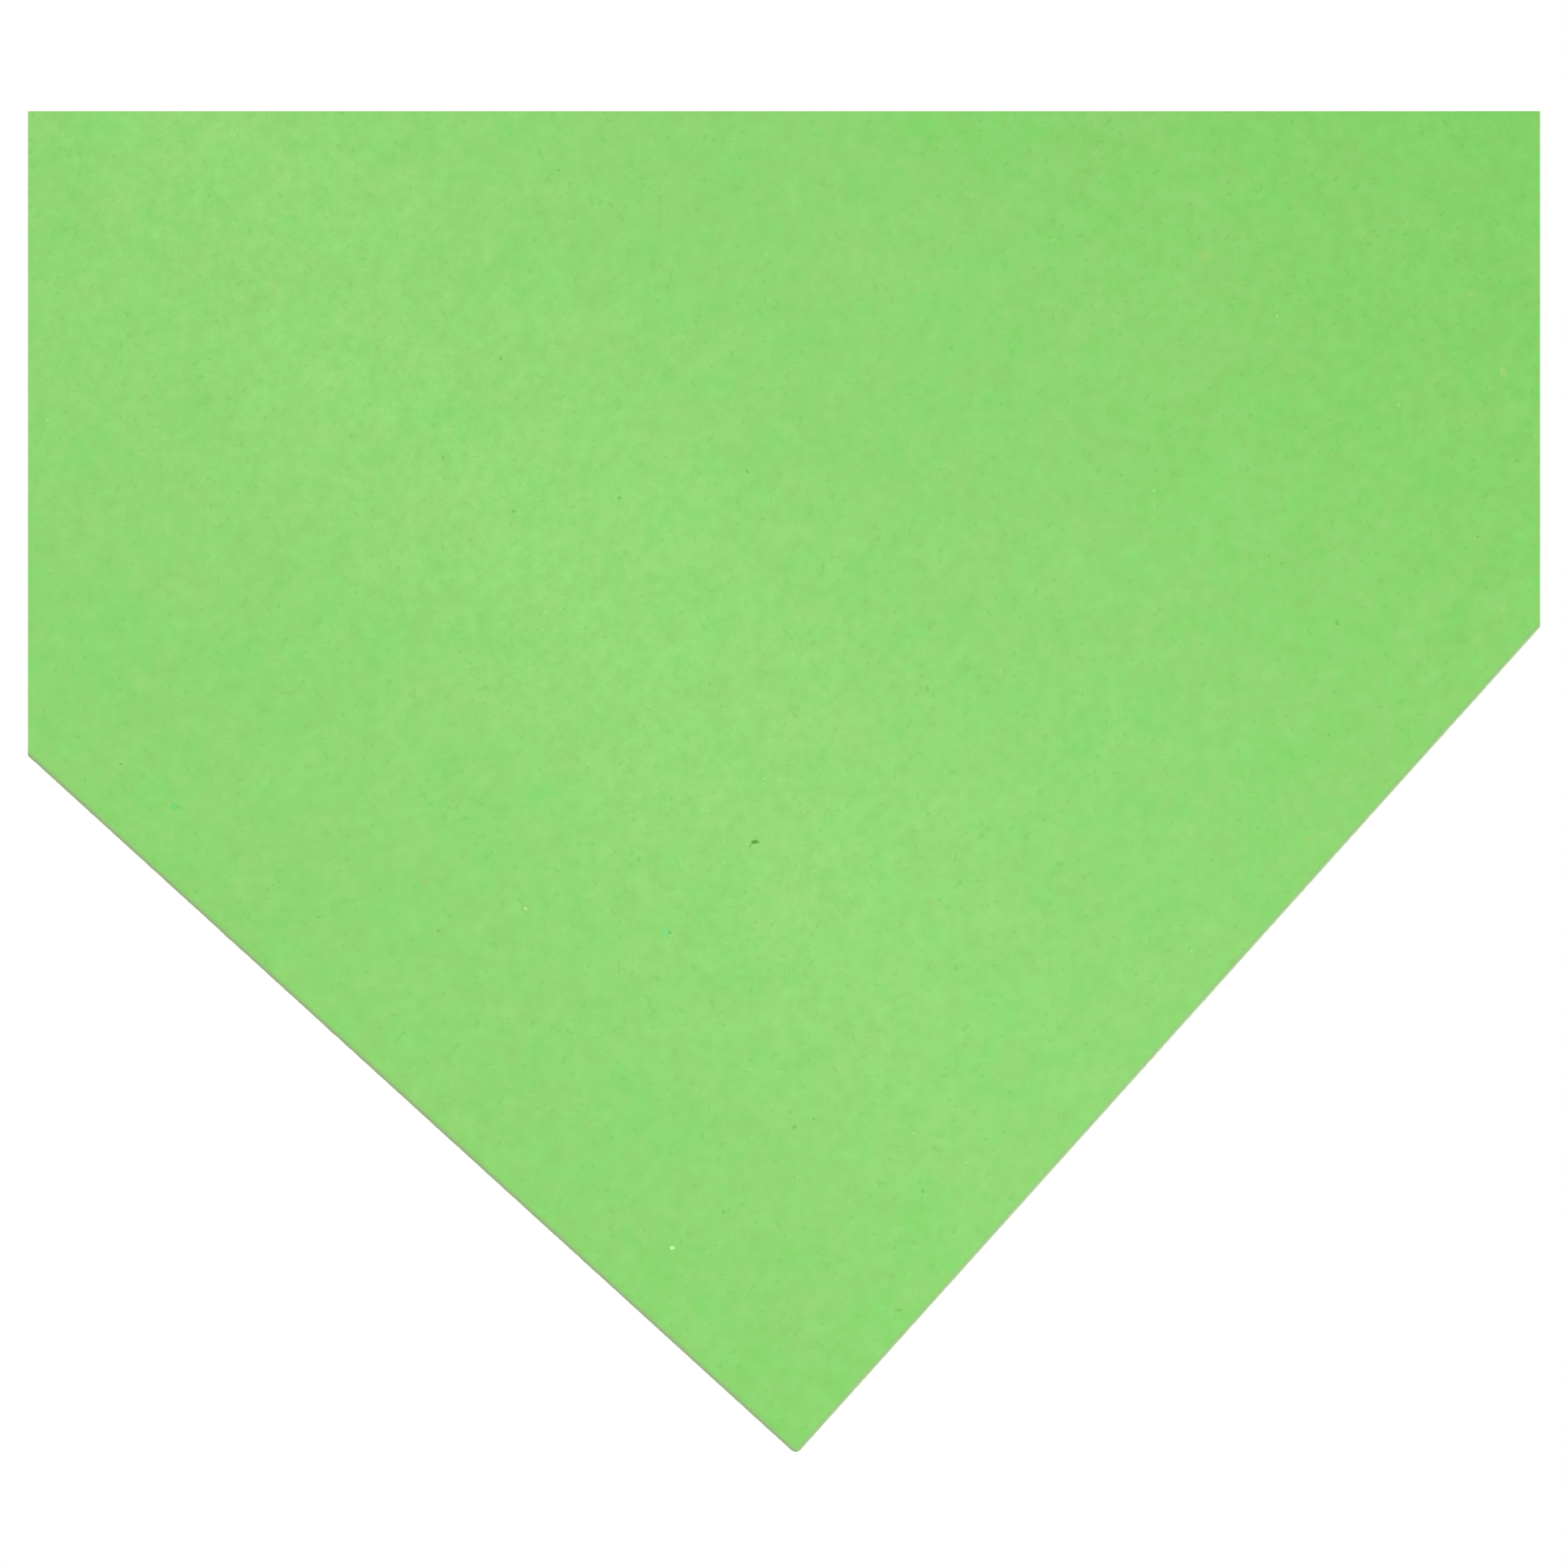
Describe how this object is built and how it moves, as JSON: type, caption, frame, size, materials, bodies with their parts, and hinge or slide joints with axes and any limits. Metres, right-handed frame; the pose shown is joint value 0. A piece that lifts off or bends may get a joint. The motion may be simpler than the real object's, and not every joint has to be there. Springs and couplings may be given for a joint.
{
  "type": "sheet of construction paper",
  "caption": "Flat rectangular sheet of uncoated, matte, light green construction paper, trimmed square, for drawing on, cutting and folding.",
  "frame": {"origin": "centre of the sheet's underside", "axes": "+X along the short side, +Y along the long side, +Z out of the top face"},
  "size_m": [0.2286, 0.3048, 0.0003],
  "materials": {
    "green_paper": "matte, uncoated, dyed through, with faint fibre mottle and stray specks"
  },
  "bodies": {
    "root": {"paper_sheet": "green_paper"}
  },
  "joints": []
}
